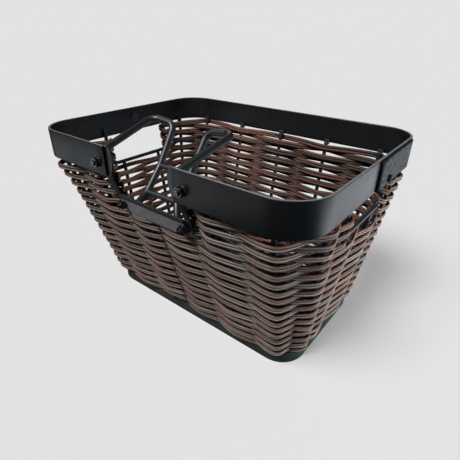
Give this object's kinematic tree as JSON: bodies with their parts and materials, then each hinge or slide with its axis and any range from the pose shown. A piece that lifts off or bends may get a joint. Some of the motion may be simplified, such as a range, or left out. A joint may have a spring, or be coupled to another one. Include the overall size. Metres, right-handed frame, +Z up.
{
  "type": "woven bicycle basket",
  "caption": "Tapered woven basket with a flat metal rim band, a bolted wire handlebar recess at the front and a hand-hold in each end wall.",
  "frame": {"origin": "on the floor, below the middle of the rim", "axes": "+Z up; +X to the right along the rim's long side; -Y towards the front, the long side with the recess"},
  "size_m": [0.4068, 0.3058, 0.2741],
  "materials": {
    "band": "satin black powder coat",
    "plate": "textured black powder coat",
    "frame_rod": "satin black",
    "hoop_rod": "satin dark grey coating",
    "recess_plate": "satin dark grey powder coat",
    "fastener": "gloss black",
    "board": "matte dark grey",
    "weave": "resin rattan, taupe and red-brown, satin"
  },
  "bodies": {
    "root": {"base_board": "board", "rim_band": "band", "joint_plate": "plate", "joint_plate_screw": "fastener", "side_rivet": "fastener", "front_stakes": "frame_rod", "back_stakes": "frame_rod", "left_stakes": "frame_rod", "right_stakes": "frame_rod", "left_hand_hold_rod": "frame_rod", "right_hand_hold_rod": "frame_rod", "recess_hoop_left": "hoop_rod", "recess_hoop_right": "hoop_rod", "recess_cross_bar_upper": "hoop_rod", "recess_cross_bar_lower": "hoop_rod", "recess_edge_strap_left": "hoop_rod", "recess_edge_strap_right": "hoop_rod", "recess_plate": "recess_plate", "recess_bolts": "fastener", "recess_nuts": "fastener", "recess_washers": "fastener", "weave_course_01": "weave", "weave_course_02": "weave", "weave_course_03": "weave", "weave_course_04": "weave", "weave_course_05": "weave", "weave_course_06": "weave", "weave_course_07": "weave", "weave_course_08": "weave", "weave_course_09": "weave", "weave_course_10": "weave", "weave_course_11": "weave", "weave_course_12": "weave", "weave_course_13": "weave", "weave_course_14": "weave", "weave_course_15": "weave", "weave_course_16": "weave", "weave_course_17": "weave", "weave_course_18": "weave", "weave_course_19": "weave", "weave_course_20": "weave", "weave_course_21": "weave", "weave_course_22": "weave", "weave_course_23": "weave", "weave_course_24": "weave", "weave_course_25": "weave", "weave_course_26": "weave", "weave_course_27": "weave", "weave_course_28": "weave", "weave_course_29": "weave", "weave_course_30": "weave", "weave_course_31": "weave"}
  },
  "joints": []
}
